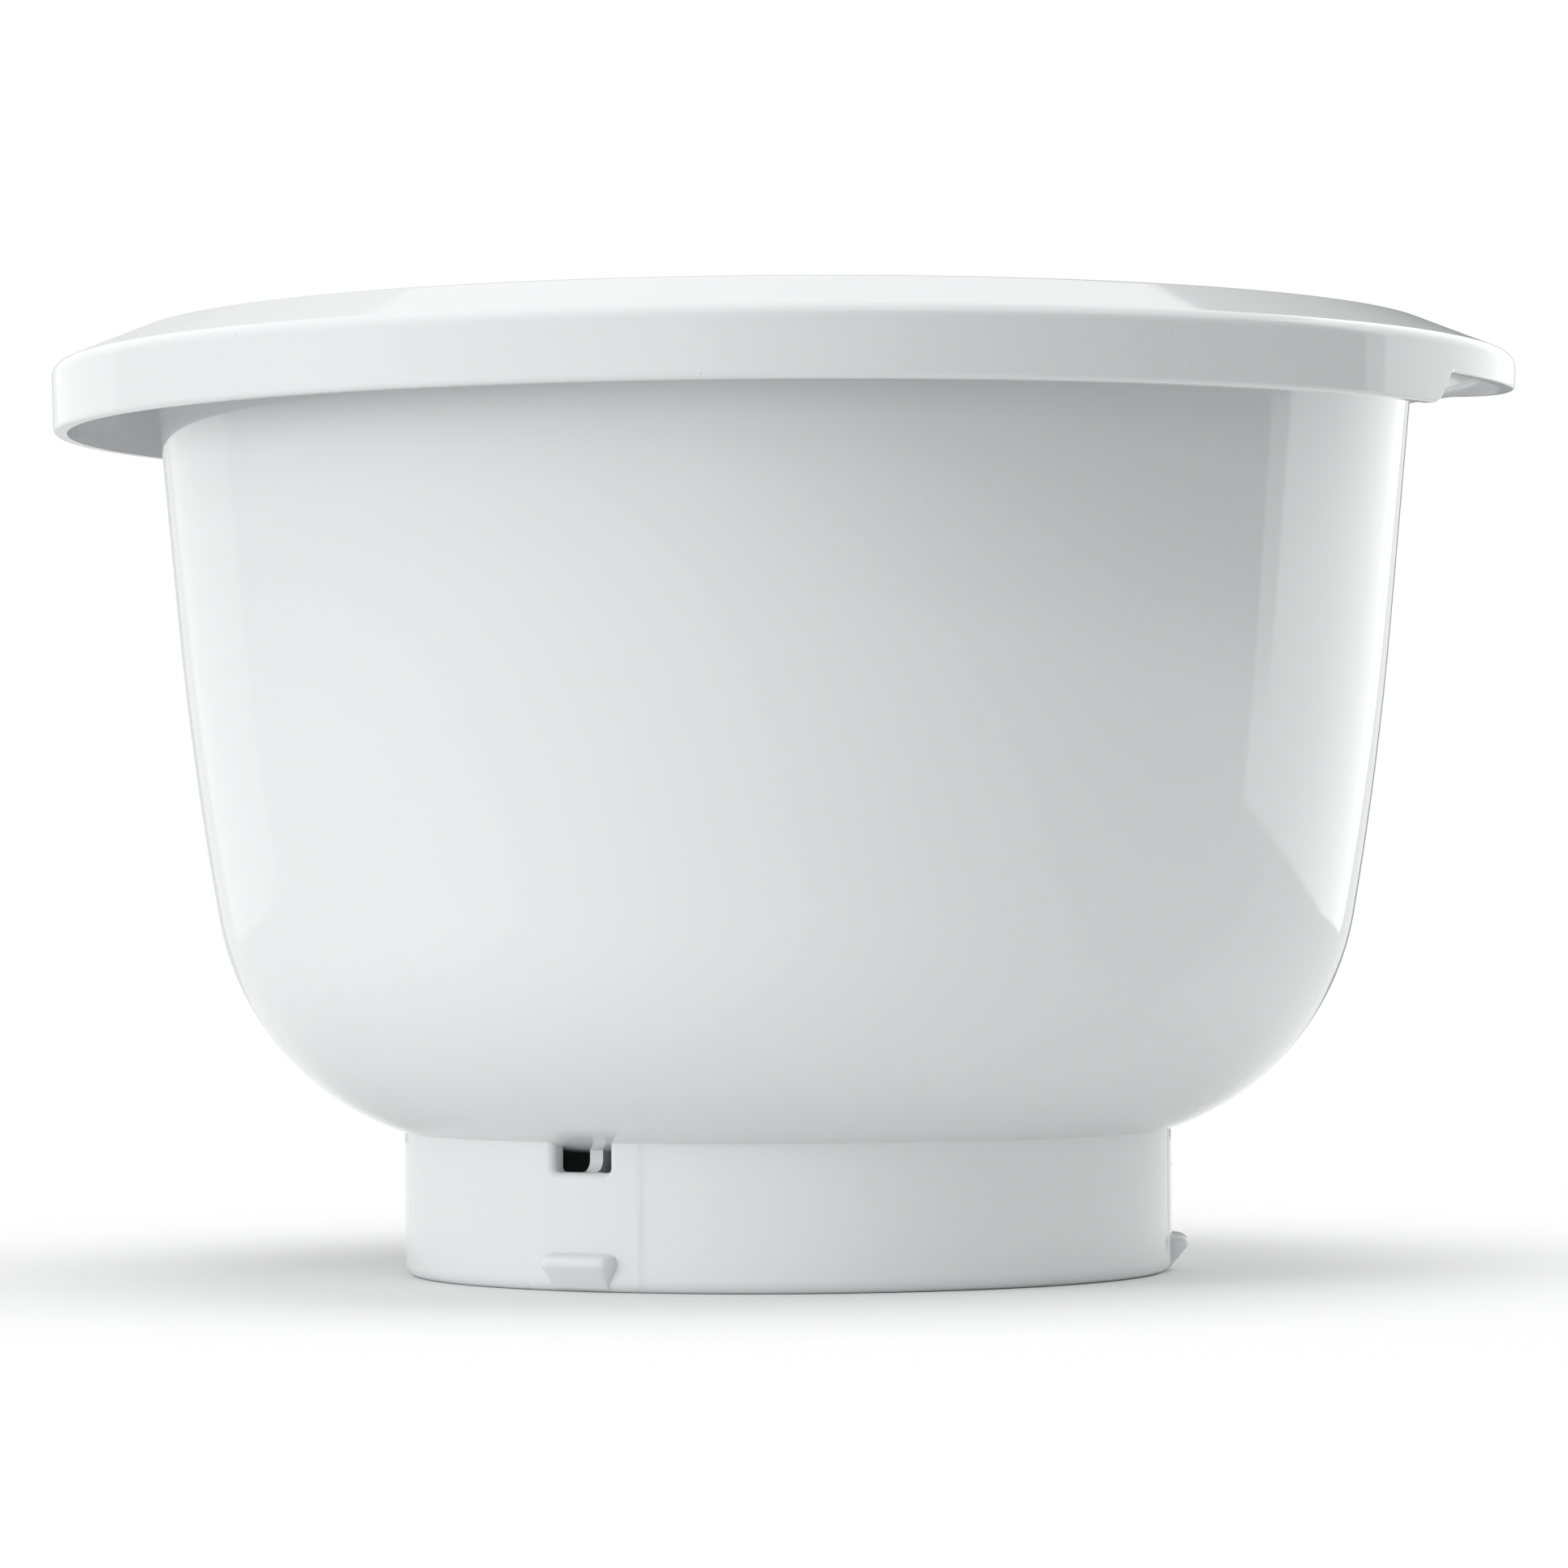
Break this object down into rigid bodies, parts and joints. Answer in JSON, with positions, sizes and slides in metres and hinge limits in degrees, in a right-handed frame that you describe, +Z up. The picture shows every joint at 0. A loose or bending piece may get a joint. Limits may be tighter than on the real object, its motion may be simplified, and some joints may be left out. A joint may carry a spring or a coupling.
{
  "type": "stand mixer bowl",
  "caption": "Round plastic mixing bowl for a compact stand mixer, with a sloping rim, a hanging skirt and a bayonet foot.",
  "frame": {"origin": "on the bowl's axis, in the plane the foot stands on", "axes": "+Z up along the bowl's axis; -Y is the side that faces the picture's camera; +X is its right"},
  "size_m": [0.25, 0.2498, 0.1606],
  "materials": {
    "bowl_plastic": "glossy white moulded plastic"
  },
  "bodies": {
    "root": {"mixing_bowl": "bowl_plastic"}
  },
  "joints": []
}
